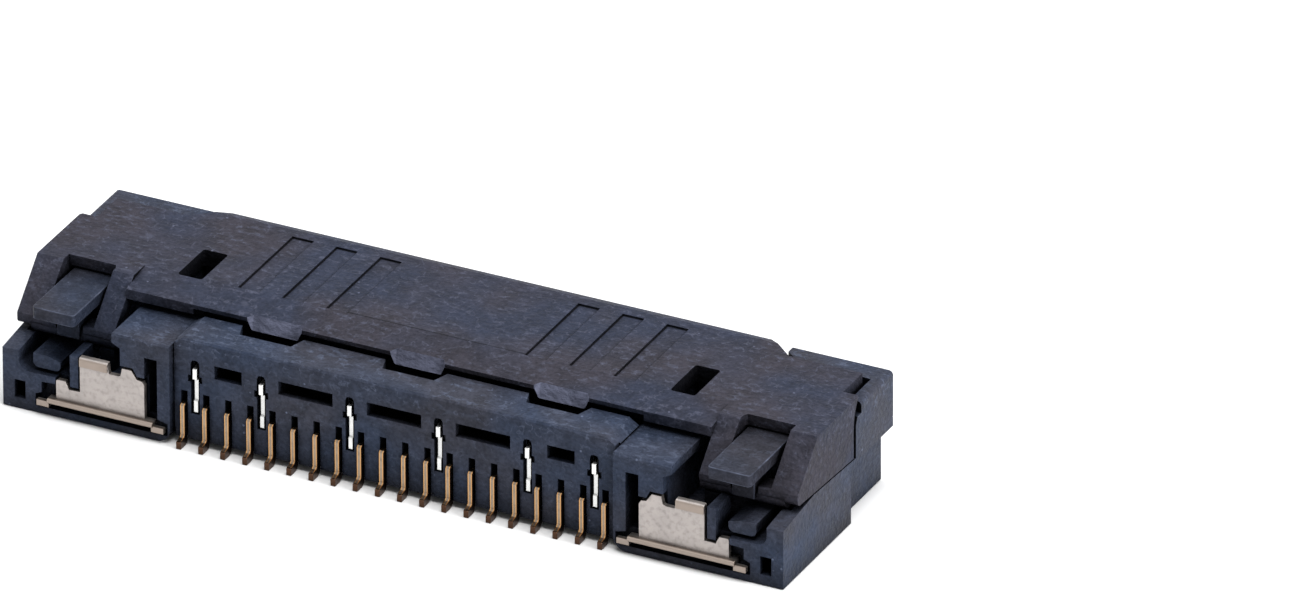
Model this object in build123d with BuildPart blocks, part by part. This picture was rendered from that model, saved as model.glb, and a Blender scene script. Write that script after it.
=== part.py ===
from build123d import *
import os

os.makedirs("parts", exist_ok=True)

# Auto-lock flat-cable connector for a board, with 20 signal contacts.
# The board is the plane z = 0, the cable goes in at y = 0 towards +Y,
# the solder tails leave at the rear, and x = 0 is the middle of the row.

# Row of contacts, in millimetres
pitch = 0.5
signal_count = 20
shield_places = (1.5, 4.5, 8.5, 12.5, 16.5, 19.5)
signal_thickness = 0.11
shield_thickness = 0.1

# Clearances and small edges
gap = 0.06
slot_gap = 0.02
side_gap = 0.12
over = 0.1
edge = 0.04
line = 0.03

# Overall sizes
end_block_width = 3.8
body_depth = 5.0
cover_top = 2.74
cover_thickness = 0.37
side_step = 0.27

# Places along the row
row_middle = (signal_count + 1) / 2
half_wall = signal_count * pitch / 2
half_length = half_wall + end_block_width
signal_xs = [(place - row_middle) * pitch for place in range(1, signal_count + 1)]
shield_xs = [(place - row_middle) * pitch for place in shield_places]
right_signal_xs = [x for x in signal_xs if x > 0]
right_shield_xs = [x for x in shield_xs if x > 0]
tooth_xs = (0.0, half_wall - 1.765)

# Heights of the housing
floor_z = 0.02
heel_z = 0.15
step_z = 1.31
notch_top = 0.59
well_floor = 0.907
chamfer_z = 1.93
cover_under = cover_top - cover_thickness
deck_z = cover_under - gap
rim_z = cover_top - 0.18
rear_block_z = cover_top - 0.33
inner_block_z = cover_top - 0.51
channel_z = deck_z - 0.26

# Heights of the cable slot and the cavities
slot_low = 0.98
slot_height = 0.48
slot_high = slot_low + slot_height
slot_taper = 0.06
lip_front_z = slot_low - 0.18
cavity_floor = 0.36
cavity_top = channel_z - 0.1
tail_slot_top = 1.22
heel_slot_z = 0.73

# Depths from the front face, and from the hinge line
wall_set = 0.17
wall_y = body_depth - wall_set
hinge_y = body_depth - 0.88
lip_y = 0.46
rim_y = 0.5
rim_end = 1.45
leg_depth = 1.92
well_y = hinge_y - 1.37
channel_y = hinge_y - 0.82
block_y = hinge_y - 0.3
recess_y = hinge_y + 0.07
inner_deck_y = hinge_y - 0.7
slit_y = hinge_y + 0.18
pocket_y = body_depth - 0.22
heel_depth = 0.5
window_wall = 0.13
window_z = (1.637, 1.938)
arch_z = 1.86
arch_width = 0.2
barb_z = 1.53
rim_round = 0.1
arc_low = cover_under - 0.22

# Widths of the end blocks
throat = half_wall + 1.115
block_in = half_wall + 1.31
rim_in = block_in + 0.24
notch_in = block_in + 0.45
notch_out = half_length - 0.7
well_in = half_wall + 1.117
well_out = half_length - 0.37
well_round = 0.22
block_end = half_wall - 0.22

# Hinge line of the cover and the release levers
hinge_z = 1.6
hinge_r = 0.2

# Cover outline
cover_front = 0.05
cover_corner = half_wall + 1.15
cover_step_x = half_wall + 1.78
cover_step_y = 0.65
cover_side = half_length - 0.37
thick_in = half_wall + 0.08
window_width = 1.13
window_out = half_length - 0.6
window_in = window_out - window_width
window_y = hinge_y - 0.92
lug_in = window_in - 0.47
skirt_in = half_length - 0.3
skirt_top_y = 1.53
skirt_y = 1.76
skirt_low = hinge_z - 0.17
slope_y = hinge_y - 0.69
slope_end_y = hinge_y + 0.225
slope_end_z = hinge_z + 0.22
skirt_rear_z = hinge_z - 0.03
skirt_round = 0.12
skirt_gap = 0.035
bevel_y = hinge_y - 1.2
rear_edge_y = hinge_y - 0.35
rear_edge_z = cover_top - 0.15
rear_edge_height = 0.09
tooth_low = rear_block_z - 0.09
tooth_width = 1.24
tooth_slope = 0.1
claw_x = half_wall + 0.56
claw_width = 0.52
claw_y = 1.25
claw_low = 1.0

# Release lever
lever_in = window_in + gap
lever_out = window_out - gap - 0.05
lever_top = cover_top - 0.29
lever_thickness = 0.27
lever_front = window_y - 0.25
lever_rear = body_depth + 0.05
lever_round = 0.08
clip_width = 0.5
clip_reach = 0.28
clip_drop = 0.05

# Signal contacts and shield plates, each stamped flat and standing on edge
bump_y = 1.65
tip_low = 0.62
base_z = cavity_floor + slot_gap
arm_low = slot_low - 0.05
arm_high = slot_high + 0.1
arm_top = cavity_top - 0.05
root_y = hinge_y - 0.87
root_end = root_y + 0.45
base_end = wall_y - 0.38
tail_top = 0.95
tail_size = 0.13
tail_out = wall_y + 0.1
tail_in = tail_out - tail_size
toe_end = body_depth + 0.12
toe_z = 0.2
heel_round = 0.14
cavity_end = root_end + 0.15

# Hold-down, one folded sheet
sheet = 0.12
plate_y = body_depth - sheet
plate_in = half_wall + 0.575
plate_top = 1.45
strap_z = 0.29
strap_width = 0.5
foot_width = 0.61
riser_y = 0.5
roll_height = 0.14


def span_box(xs, ys, zs, mode=Mode.ADD):
    """Box given by its range along each axis."""
    size = [high - low for low, high in (xs, ys, zs)]
    middle = [(high + low) / 2 for low, high in (xs, ys, zs)]
    with Locations(tuple(middle)):
        Box(*size, mode=mode)


def drawn_shape(plane, points, amount, mode, rounds):
    """Closed outline drawn out by an amount; rounds gives a radius for some of its corners."""
    with BuildSketch(plane) as outline:
        with BuildLine():
            Polyline(*points, close=True)
        make_face()
        for place, radius in rounds.items():
            fillet(outline.vertices().sort_by_distance(points[place])[0], radius)
    extrude(outline.sketch, amount=amount, mode=mode)


def side_shape(points, xs, mode=Mode.ADD, rounds={}):
    """Outline of (y, z) points, drawn out over a range of x."""
    drawn_shape(Plane.YZ.offset(xs[0]), points, xs[1] - xs[0], mode, rounds)


def rear_shape(points, ys, mode=Mode.ADD, rounds={}):
    """Outline of (x, z) points, drawn out over a range of y."""
    drawn_shape(Plane.XZ.offset(-ys[0]), points, ys[0] - ys[1], mode, rounds)


def plan_shape(points, zs, mode=Mode.ADD, rounds={}):
    """Outline of (x, y) points, drawn out over a range of z."""
    drawn_shape(Plane.XY.offset(zs[0]), points, zs[1] - zs[0], mode, rounds)


def about(x, width):
    """Range of the given width about a place."""
    return (x - width / 2, x + width / 2)


def rod(xs, y, z, radius, mode=Mode.ADD):
    """Round bar along x."""
    with Locations(Plane.YZ.offset((xs[0] + xs[1]) / 2) * Pos(y, z, 0)):
        Cylinder(radius, xs[1] - xs[0], mode=mode)


# Places shared by the end block, the lever's spring arm and the hold-down
seat_z = skirt_low - skirt_gap
seat_end_y = hinge_y - 0.5
seat_end_z = seat_z + (skirt_rear_z - skirt_low) * (seat_end_y - skirt_y) / (slope_end_y - skirt_y)
clip_x = (lever_in + lever_out) / 2
arm_x = window_out - 0.36
arm_width = 0.62
arm_z = hinge_z - hinge_r - 0.1
arm_low_z = arm_z - 0.3
rib_x = window_in + 0.115
rib_width = 0.19
rib_top = 1.48
slit_in = half_wall + 0.28
slit_out = half_wall + 0.57
strap_x = (notch_in + notch_out) / 2 + 0.02
knob_in = half_wall + 0.11
knob_out = half_wall + 3.0
knob_length = 0.28

# Housing: the right half is shaped, then mirrored
with BuildPart() as housing:
    # Middle: deck, channel behind it, raised rear blocks and the undercut heel
    side_shape(
        (
            (0, floor_z), (0, deck_z), (channel_y, deck_z), (channel_y, channel_z),
            (block_y, channel_z), (block_y, rear_block_z), (wall_y - edge, rear_block_z),
            (wall_y, rear_block_z - edge), (wall_y, heel_z), (wall_y - heel_depth, heel_z),
            (wall_y - heel_depth - heel_z + floor_z, floor_z),
        ),
        (0, half_wall),
    )
    rear_shape(
        (
            (block_end, rear_block_z), (half_wall, inner_block_z + edge),
            (half_wall + over, inner_block_z + edge), (half_wall + over, rear_block_z + over),
            (block_end, rear_block_z + over),
        ),
        (channel_y, body_depth),
        mode=Mode.SUBTRACT,
    )
    # Inner block beside the rear wall, with a parting groove between them
    side_shape(
        (
            (0, floor_z), (0, deck_z), (inner_deck_y, deck_z), (inner_deck_y + 0.08, inner_block_z),
            (body_depth - edge, inner_block_z), (body_depth, inner_block_z - edge),
            (body_depth, floor_z),
        ),
        (half_wall, block_in),
    )
    span_box(
        (half_wall - line, half_wall), (wall_y - wall_set, body_depth), (heel_z, rear_block_z),
        mode=Mode.SUBTRACT,
    )
    # End block, with the rim that frames the cover's stepped corner
    span_box((block_in, half_length), (0, body_depth), (floor_z, deck_z))
    rim_side = cover_side + side_gap
    plan_shape(
        (
            (rim_in, 0), (rim_in, 0.2), (rim_in + 0.38, rim_y), (rim_side, rim_y),
            (rim_side, rim_end), (half_length, rim_end), (half_length, 0),
        ),
        (deck_z, rim_z),
        rounds={2: rim_round},
    )
    top_edges = housing.edges().filter_by(Axis.Y).group_by(Axis.Z)[-1]
    fillet(top_edges.group_by(Axis.X)[-1], rim_round)
    # Shelf under the cover's skirt, lower behind the hinge line
    side_shape(
        (
            (skirt_y - gap, seat_z), (skirt_y - gap, arc_low), (skirt_top_y - gap, rim_z + over),
            (body_depth + over, rim_z + over), (body_depth + over, seat_z - gap),
            (body_depth, seat_z - gap), (hinge_y, seat_z + edge), (seat_end_y, seat_end_z),
        ),
        (well_out - over, half_length + over),
        mode=Mode.SUBTRACT,
    )
    # Well for the release lever, open at the rear
    rear_shape(
        (
            (well_in, well_floor), (well_in, chamfer_z), (block_in, chamfer_z + 0.1),
            (block_in, rim_z + over), (well_out, rim_z + over), (well_out, well_floor),
        ),
        (well_y, body_depth + over),
        mode=Mode.SUBTRACT,
        rounds={5: well_round},
    )
    # Seat of the hinge bar
    span_box(
        (lug_in + gap, window_in - 0.1), (hinge_y - hinge_r - over, hinge_y + over),
        (well_floor, hinge_z - 0.1),
    )
    rod((lug_in - 2 * gap, skirt_in + 2 * gap), hinge_y, hinge_z, hinge_r + 0.03, mode=Mode.SUBTRACT)
    # Spring arm under the lever
    rear_shape(
        (
            (arm_x - arm_width / 2, arm_z - 0.08), (arm_x, arm_z), (arm_x + arm_width / 2, arm_z),
            (arm_x + arm_width / 2, arm_low_z), (arm_x - arm_width / 2, arm_low_z),
        ),
        (well_y - over, body_depth - over),
        rounds={3: 0.12, 4: 0.12},
    )
    # Pocket and slit of the hold-down in the rear face
    rear_shape(
        (
            (knob_in - gap, 0.17), (knob_in - gap, 0.44), (slit_in, 0.5),
            (slit_in, 1.85), (slit_out, 1.85), (slit_out, 1.37), (slit_out + 0.17, 1.37),
            (slit_out + 0.26, 1.54), (well_in, 1.54), (well_in + 0.05, well_floor + 0.05),
            (window_in + 0.53, well_floor + 0.05), (window_in + 0.53, 0.76),
            (window_in + 0.85, 0.74), (window_in + 0.85, 0.5), (knob_out + gap, 0.44),
            (knob_out + gap, 0.17),
        ),
        (pocket_y, body_depth + over),
        mode=Mode.SUBTRACT,
    )
    span_box((slit_in, slit_out), (slit_y, body_depth), (0.5, 1.85), mode=Mode.SUBTRACT)
    # Rib that stands in the notch of the hold-down
    span_box(about(rib_x, rib_width), (slit_y, body_depth - 0.03), (0.76, rib_top))
    # Small window near the outer corner of the rear face, wider behind its thin wall
    small_window_x = half_length - 0.39
    small_window_z = (0.25, 0.66)
    span_box(
        about(small_window_x, 0.25), (slit_y, body_depth + over), small_window_z, mode=Mode.SUBTRACT,
    )
    span_box(
        about(small_window_x, 0.5), (hinge_y, body_depth - window_wall), (0.12, 0.72),
        mode=Mode.SUBTRACT,
    )
    # Rounded inner corner of the end block under the rear face
    corner_round = 0.3
    with BuildSketch(Plane.XZ.offset(heel_depth - wall_y)) as corner:
        with Locations((half_wall, floor_z)):
            Rectangle(2 * corner_round, 2 * corner_round)
        with Locations((half_wall + corner_round, floor_z + corner_round)):
            Circle(corner_round, mode=Mode.SUBTRACT)
        with Locations((half_wall - corner_round, floor_z)):
            Rectangle(2 * corner_round - 0.1, 4 * corner_round, mode=Mode.SUBTRACT)
    extrude(corner.sketch, amount=wall_y - heel_depth - body_depth - over, mode=Mode.SUBTRACT)
    # Front leg, its side step, the notch over the hold-down's foot and the front window
    span_box(
        (half_length - side_step, half_length + over), (-over, leg_depth), (-over, step_z),
        mode=Mode.SUBTRACT,
    )
    span_box((notch_in, notch_out), (-over, 1.25), (-over, notch_top), mode=Mode.SUBTRACT)
    front_window_x = (notch_in + notch_out) / 2 + 0.17
    front_window = about(front_window_x, 0.5)
    span_box(front_window, (-over, 0.8), (1.0, 1.228), mode=Mode.SUBTRACT)
    # Channel of the hold-down's strap, under the well
    span_box(
        about(strap_x, strap_width + 4 * slot_gap), (1.2, body_depth - over),
        (strap_z - edge, strap_z + sheet + edge), mode=Mode.SUBTRACT,
    )
    # Mouth of the cable slot between the end blocks
    plan_shape(
        ((0, -over), (block_in, -over), (block_in, 0), (throat, lip_y), (0, lip_y)),
        (slot_low, rim_z + over),
        mode=Mode.SUBTRACT,
    )
    slot_end = root_y - gap
    side_shape(
        (
            (lip_y - over, slot_low), (lip_y - over, slot_high + 0.12), (lip_y, slot_high + 0.1),
            (lip_y + 0.16, slot_high), (bump_y + 1, slot_high - slot_taper),
            (slot_end, slot_high - slot_taper), (slot_end, slot_low),
        ),
        (0, throat),
        mode=Mode.SUBTRACT,
    )
    side_shape(
        ((-over, lip_front_z - 0.04), (-over, slot_low + 0.01), (lip_y, slot_low + 0.01),
         (lip_y, slot_low), (0, lip_front_z)),
        (0, block_in - 0.01),
        mode=Mode.SUBTRACT,
    )
    # Bays of the lower lip around each shield plate
    bay_half = 0.35
    for x in right_shield_xs:
        left_back = x - bay_half
        right_back = x + bay_half
        if x == right_shield_xs[-1]:
            right_back = x + bay_half + 0.07
        plan_shape(
            (
                (left_back - 0.24, -over), (left_back - 0.23, 0), (left_back, 0.3),
                (left_back, lip_y), (right_back, lip_y), (right_back, 0.3),
                (right_back + 0.23, 0), (right_back + 0.24, -over),
            ),
            (-over, slot_low + over),
            mode=Mode.SUBTRACT,
        )
    # Upper lip: a slot over each shield plate, flared where the cable goes in
    slot_half = 0.105
    flare = 0.11
    flare_z = slot_high + 0.08
    for x in right_shield_xs:
        rear_shape(
            (
                (x - slot_half, cavity_top), (x + slot_half, cavity_top), (x + slot_half, flare_z),
                (x + slot_half + flare, flare_z), (x + slot_half + flare, slot_high - slot_taper),
                (x - slot_half - flare, slot_high - slot_taper), (x - slot_half - flare, flare_z),
                (x - slot_half, flare_z),
            ),
            (lip_y - over, 1.0),
            mode=Mode.SUBTRACT,
            rounds={2: flare - 0.01, 7: flare - 0.01},
        )
    # Upper lip: sunk panels, each with a deeper pocket over it and a groove below
    post = 0.38
    panel_low = slot_high + 0.16
    panel_high = cavity_top + 0.23
    pocket_low = cavity_top - 0.06
    panel_lows = [x + post for x in right_shield_xs[:-1]]
    panel_highs = [x - post for x in right_shield_xs[1:]]
    front_panels = [(0, right_shield_xs[0] - post)] + list(zip(panel_lows, panel_highs))
    for low, high in front_panels:
        span_box((low, high), (0, lip_y + edge), (panel_low, panel_high), mode=Mode.SUBTRACT)
        span_box((low, high), (0, lip_y + 0.5), (pocket_low, panel_high), mode=Mode.SUBTRACT)
        span_box((low, high - line), (0, lip_y + over), (panel_low, panel_low + line), mode=Mode.SUBTRACT)
        span_box((high - line, high), (0, lip_y + over), (panel_low, panel_high), mode=Mode.SUBTRACT)
    end_panel = right_shield_xs[-1] + 0.4
    span_box((end_panel, throat), (0, lip_y + edge), (panel_low, panel_high - gap), mode=Mode.SUBTRACT)
    span_box(
        (end_panel, throat - post / 2), (0, lip_y + 0.5), (pocket_low + over, panel_high),
        mode=Mode.SUBTRACT,
    )
    # Openings for the cover's lock claws, and the recesses for its teeth in the rear blocks
    span_box(
        about(claw_x, claw_width + 0.14), (claw_y - 0.15, 3.05), (claw_low - 0.22, rim_z),
        mode=Mode.SUBTRACT,
    )
    for x in tooth_xs:
        low, high = about(x, tooth_width)
        plan_shape(
            (
                (low - 0.08, block_y - over), (high + 0.08, block_y - over), (high + 0.08, block_y),
                (high - edge, recess_y), (low + edge, recess_y), (low - 0.08, block_y),
            ),
            (channel_z, rim_z),
            mode=Mode.SUBTRACT,
        )
    # Cavity of each signal contact, with the groove of its tail in the rear wall
    for x in right_signal_xs:
        side_shape(
            (
                (-over, cavity_floor), (-over, slot_low + over), (0.9, slot_low + over),
                (0.9, cavity_top), (cavity_end, cavity_top), (cavity_end, tail_slot_top),
                (body_depth, tail_slot_top), (body_depth, 0), (tail_in - gap, 0),
                (tail_in - gap, cavity_floor),
            ),
            about(x, signal_thickness + 2 * slot_gap),
            mode=Mode.SUBTRACT,
        )
    # Cavity of each shield plate, with the arched slot in the rear wall
    foot_end = 0.6
    for x in right_shield_xs:
        side_shape(
            (
                (0, -over), (0, slot_low + over), (0.9, slot_low + over), (0.9, cavity_top),
                (body_depth, cavity_top), (body_depth, heel_slot_z), (base_end + over, heel_slot_z),
                (base_end + over, cavity_floor), (foot_end + gap, cavity_floor), (foot_end, -over),
            ),
            about(x, shield_thickness + 2 * slot_gap),
            mode=Mode.SUBTRACT,
        )
        with BuildSketch(Plane.XZ.offset(-body_depth)):
            with Locations((x, arch_z)):
                Circle(arch_width / 2)
            with Locations((x, (arch_z + heel_slot_z) / 2)):
                Rectangle(arch_width, arch_z - heel_slot_z)
            with Locations((x, barb_z)):
                Rectangle(0.32, 0.15)
        extrude(amount=wall_set + 0.12, mode=Mode.SUBTRACT)
    # Windows in the thin rear wall, each open to a larger dark space behind it
    long_window = 1.23
    short_window = 0.62
    for x, width in ((0.0, long_window), (4 * pitch, long_window), (7.5 * pitch, short_window)):
        span_box(about(x, width), (wall_y - 0.5, body_depth), window_z, mode=Mode.SUBTRACT)
        span_box(
            about(x, width + 0.08), (cavity_end + gap, wall_y - window_wall),
            (window_z[0] - 0.3, window_z[1] + gap), mode=Mode.SUBTRACT,
        )
    # The left half mirrors the right half
    split(bisect_by=Plane.YZ, keep=Keep.TOP)
    mirror(about=Plane.YZ)
    # Fine lines of the mould's inserts on the front faces
    insert_in = front_window[0] - 0.15
    insert_out = front_window[1] + 0.35
    insert_low = 0.98
    insert_high = deck_z - 0.1
    line_y = (-over, line / 2)
    outer_line_z = step_z + 0.23
    for low, high, bottom in (
        (insert_out, half_length + over, outer_line_z),
        (-half_length - over, -insert_out, outer_line_z),
        (insert_in, front_window[0], insert_low),
        (-insert_out, -front_window[1], insert_low),
    ):
        span_box((low, high), line_y, (bottom - line, bottom), mode=Mode.SUBTRACT)
    for x, bottom in ((insert_out, outer_line_z), (insert_in, insert_low), (-insert_out, insert_low)):
        span_box((x, x + line), line_y, (bottom - line, insert_high), mode=Mode.SUBTRACT)
housing.part.label = "housing"
export_step(housing.part, "parts/housing.step")

# Cover: the right half is shaped, then mirrored
with BuildPart() as cover:
    # Middle plate with the front edge and the long rear bevel that ends thin
    thin_z = rear_edge_z - rear_edge_height
    side_shape(
        (
            (cover_front, cover_under), (cover_front, cover_top - 0.08), (cover_front + 0.23, cover_top),
            (bevel_y, cover_top), (rear_edge_y, rear_edge_z), (rear_edge_y, thin_z),
            (channel_y + edge, thin_z - edge), (channel_y + edge, cover_under),
        ),
        (0, lug_in),
    )
    # Full thickness of the rear edge beside the end frame
    span_box((thick_in, lug_in), (channel_y, rear_edge_y), (cover_under, thin_z + edge))
    # End frame that slopes down to the hinge
    side_shape(
        (
            (cover_front + 0.4, cover_under), (cover_front + 0.4, cover_top), (slope_y, cover_top),
            (slope_end_y, slope_end_z), (slope_end_y, hinge_z), (hinge_y - 0.19, hinge_z),
            (hinge_y - 0.19, hinge_z + 0.12), (channel_y, cover_under),
        ),
        (lug_in, skirt_in + over),
        rounds={4: skirt_round},
    )
    # Skirt over the end of the housing, its front edge an arc about the hinge
    with BuildSketch(Plane.YZ.offset(skirt_in)) as skirt:
        with BuildLine():
            Polyline(
                (skirt_top_y, cover_top), (slope_y, cover_top), (slope_end_y, slope_end_z),
                (slope_end_y, skirt_rear_z), (skirt_y, skirt_low), (skirt_y, arc_low),
            )
            ThreePointArc((skirt_y, arc_low), (skirt_y - 0.07, arc_low + 0.32), (skirt_top_y, cover_top))
        make_face()
        fillet(skirt.vertices().sort_by_distance((slope_end_y, skirt_rear_z))[0], skirt_round)
    extrude(skirt.sketch, amount=half_length - skirt_in)
    # Stepped front corner
    plan_shape(
        (
            (cover_corner - 0.05, -over), (cover_corner - 0.05, cover_front), (cover_step_x, cover_step_y),
            (cover_side, cover_step_y), (cover_side, skirt_top_y), (half_length + over, skirt_top_y),
            (half_length + over, -over),
        ),
        (cover_under - over, cover_top + over),
        mode=Mode.SUBTRACT,
    )
    # Window of the release lever, and the relief over its front end
    plan_shape(
        (
            (window_in, slope_end_y + over), (window_in, window_y + 0.12), (window_in + 0.06, window_y),
            (window_out, window_y), (window_out, slope_end_y + over),
        ),
        (slope_end_z + slot_gap, cover_top + over),
        mode=Mode.SUBTRACT,
    )
    span_box(
        (window_in, window_out), (lever_front - 0.15, hinge_y - 0.19), (hinge_z - over, lever_top + 0.05),
        mode=Mode.SUBTRACT,
    )
    # Hinge bar, thinned to its round core where the lever's clip grips it
    rod((lug_in, skirt_in), hinge_y, hinge_z, hinge_r)
    span_box(
        about(clip_x, clip_width + 2 * gap), about(hinge_y, 1.0), (hinge_z - 0.5, slope_end_z + 0.28),
        mode=Mode.SUBTRACT,
    )
    rod(about(clip_x, clip_width + 4 * gap), hinge_y, hinge_z, hinge_r)
    # Lock claw and the moulding hole behind it
    side_shape(
        (
            (claw_y, cover_under + 0.01), (claw_y, claw_low + 0.22), (claw_y + 0.1, claw_low + 0.02),
            (claw_y + 0.28, claw_low), (claw_y + 0.44, claw_low + 0.3), (claw_y + 0.5, cover_under + 0.01),
        ),
        about(claw_x, claw_width),
    )
    span_box(
        about(claw_x, 0.56), (claw_y + 0.565, hinge_y - 1.14), (cover_under - over, cover_top + over),
        mode=Mode.SUBTRACT,
    )
    # Tapered teeth under the rear edge
    for x in tooth_xs:
        low, high = about(x, tooth_width)
        rear_shape(
            (
                (low, rear_edge_z - edge), (high, rear_edge_z - edge), (high - tooth_slope, tooth_low),
                (low + tooth_slope, tooth_low),
            ),
            (channel_y + 0.15, rear_edge_y),
            rounds={2: edge, 3: edge},
        )
    # Three shallow grip recesses
    for step in range(3):
        span_box(
            about(2.24 + step * 2 * pitch, 0.49), (0.53, 2.95), (cover_top - 0.035, cover_top + over),
            mode=Mode.SUBTRACT,
        )
    split(bisect_by=Plane.YZ, keep=Keep.TOP)
    mirror(about=Plane.YZ)
cover.part.label = "cover"
export_step(cover.part, "parts/cover.step")

# Release lever: press tab with a clip that grips the cover's hinge bar
lever_under = lever_top - lever_thickness
with BuildPart() as lever:
    side_shape(
        (
            (lever_front, lever_under + 0.1), (lever_front, lever_top - edge),
            (lever_front + edge, lever_top), (lever_rear, lever_top), (lever_rear, lever_under),
            (lever_front + 0.2, lever_under),
        ),
        (lever_in, lever_out),
    )
    fillet(lever.edges().filter_by(Axis.Z).group_by(Axis.Y)[-1], lever_round)
    span_box(
        about(clip_x, clip_width), about(hinge_y, 2 * clip_reach), (hinge_z - clip_drop, lever_top - 0.1),
    )
    rod(about(clip_x, clip_width + over), hinge_y, hinge_z, hinge_r + slot_gap, mode=Mode.SUBTRACT)
lever.part.label = "release_lever_right"
export_step(lever.part, "parts/release_lever_right.step")
lever_left = mirror(lever.part, about=Plane.YZ)
lever_left.label = "release_lever_left"
export_step(lever_left, "parts/release_lever_left.step")

# Two spring arms that grip the cable from below and above
fork = (
    (bump_y - 0.35, arm_low), (bump_y - 0.1, slot_low + gap), (bump_y + 0.1, slot_low + gap),
    (bump_y + 0.45, arm_low - 0.07), (root_y, arm_low - 0.13), (root_y, arm_high),
    (bump_y + 0.35, arm_high), (bump_y + 0.2, slot_high - over), (bump_y + 0.05, slot_high - over),
    (bump_y - 0.1, arm_high + gap), (bump_y - 0.05, arm_high + 0.2), (root_end, arm_top),
)

# Signal contact: the fork, and a tail that drops to a toe on the board
with BuildPart() as signal:
    side_shape(
        (
            (root_end, tail_top), (tail_out - edge, tail_top), (tail_out, tail_top - edge),
            (tail_out, toe_z + edge), (tail_out + edge, toe_z), (toe_end, toe_z - edge),
            (toe_end, 0), (tail_in, 0), (tail_in, tail_top - tail_size),
            (base_end, tail_top - tail_size), (base_end, base_z), (foot_end, base_z),
            (lip_y + 0.01, tip_low), (lip_y + 0.01, arm_low + line),
        ) + fork,
        about(0, signal_thickness),
        rounds={7: heel_round},
    )
for number, x in enumerate(signal_xs, 1):
    contact = Pos(x, 0, 0) * signal.part
    contact.label = f"contact_{number:02d}"
    export_step(contact, f"parts/contact_{number:02d}.step")

# Shield plate: the same fork with a front foot on the board and a barbed rear edge
shield_tip = 0.17
with BuildPart() as shield:
    side_shape(
        (
            (base_end, arm_top), (wall_y + slot_gap, arm_top - 0.14), (wall_y + slot_gap, barb_z),
            (wall_y - gap, barb_z - line), (wall_y - gap, barb_z - 0.48), (wall_y - slot_gap, barb_z - 0.51),
            (wall_y - slot_gap, heel_slot_z + line), (base_end, heel_slot_z + line),
            (base_end, base_z), (foot_end, base_z), (foot_end - 0.08, 0.1), (foot_end - 0.15, 0),
            (shield_tip + 0.08, 0), (shield_tip, 0.26), (shield_tip, arm_low),
            (shield_tip + line, arm_low + line),
        ) + fork,
        about(0, shield_thickness),
    )
for number, x in enumerate(shield_xs, 1):
    plate = Pos(x, 0, 0) * shield.part
    plate.label = f"shield_plate_{number}"
    export_step(plate, f"parts/shield_plate_{number}.step")

# Hold-down: notched rear plate, strap under the floor and front solder foot
notch_a = rib_x - rib_width / 2 - 0.05
notch_b = rib_x + rib_width / 2 + 0.045
lobe_top = 0.87
plate_out = notch_b + 0.26
roll_in = plate_in + 0.83
with BuildPart() as hold_down:
    rear_shape(
        (
            (plate_in, strap_z), (plate_in, 1.2), (plate_in + 0.05, 1.28), (plate_in + 0.17, 1.3),
            (plate_in + 0.29, plate_top + 0.03), (plate_in + 0.5, plate_top + 0.03),
            (plate_in + 0.54, 1.3), (plate_in + 0.6, 1.28), (roll_in - line, 1.28),
            (roll_in, plate_top), (notch_a, plate_top), (notch_a, 0.71), (notch_b - 0.03, 0.7),
            (notch_b, 0.78), (notch_b + 0.05, lobe_top), (plate_out, lobe_top), (plate_out, strap_z),
        ),
        (plate_y, body_depth),
        rounds={10: edge, 15: edge},
    )
    # Rolled top edge
    roll_z = (plate_top - roll_height, plate_top + 2 * line)
    side_shape(
        (
            (plate_y, roll_z[0]), (plate_y, roll_z[1]), (body_depth + line, roll_z[1]),
            (body_depth + line, roll_z[0]),
        ),
        (roll_in, notch_a),
        rounds={2: roll_height / 2},
    )
    # Rounded bar along the lower edge, with the cut ends of the carrier strip
    bar_end = body_depth + 0.11
    bar_z = (strap_z + line, strap_z + line + sheet)
    side_shape(
        ((plate_y, bar_z[0]), (plate_y, bar_z[1]), (bar_end, bar_z[1]), (bar_end, bar_z[0])),
        (knob_in + knob_length - line, knob_out - knob_length + line),
        rounds={2: sheet / 2.2, 3: sheet / 2.2},
    )
    for low, high in ((knob_in, knob_in + knob_length), (knob_out - knob_length, knob_out)):
        span_box((low, high), (body_depth - line, bar_end - line), (bar_z[0] - 0.09, bar_z[0] + edge))
    # Strap, riser with a creased middle, and foot
    span_box(about(strap_x, strap_width), (riser_y, body_depth - 0.05), (strap_z, strap_z + sheet))
    side_shape(
        (
            (riser_y + sheet, 0), (0.03, 0), (0.03, sheet), (riser_y, sheet),
            (riser_y, strap_z + sheet), (riser_y + sheet, strap_z + sheet),
        ),
        about(strap_x, strap_width),
        rounds={3: gap, 4: gap},
    )
    span_box(about(strap_x, foot_width), (0.03, riser_y - gap), (0, sheet))
    span_box(
        about(strap_x, 0.18), (riser_y - over, riser_y + 0.025), (sheet + gap, strap_z + gap),
        mode=Mode.SUBTRACT,
    )
hold_down.part.label = "hold_down_right"
export_step(hold_down.part, "parts/hold_down_right.step")
hold_down_left = mirror(hold_down.part, about=Plane.YZ)
hold_down_left.label = "hold_down_left"
export_step(hold_down_left, "parts/hold_down_left.step")
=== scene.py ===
"""Board connector for a flat cable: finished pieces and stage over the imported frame."""
import math

import bmesh
import bpy
from bpy.props import FloatProperty, FloatVectorProperty, PointerProperty
from mathutils import Matrix, Vector


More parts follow.
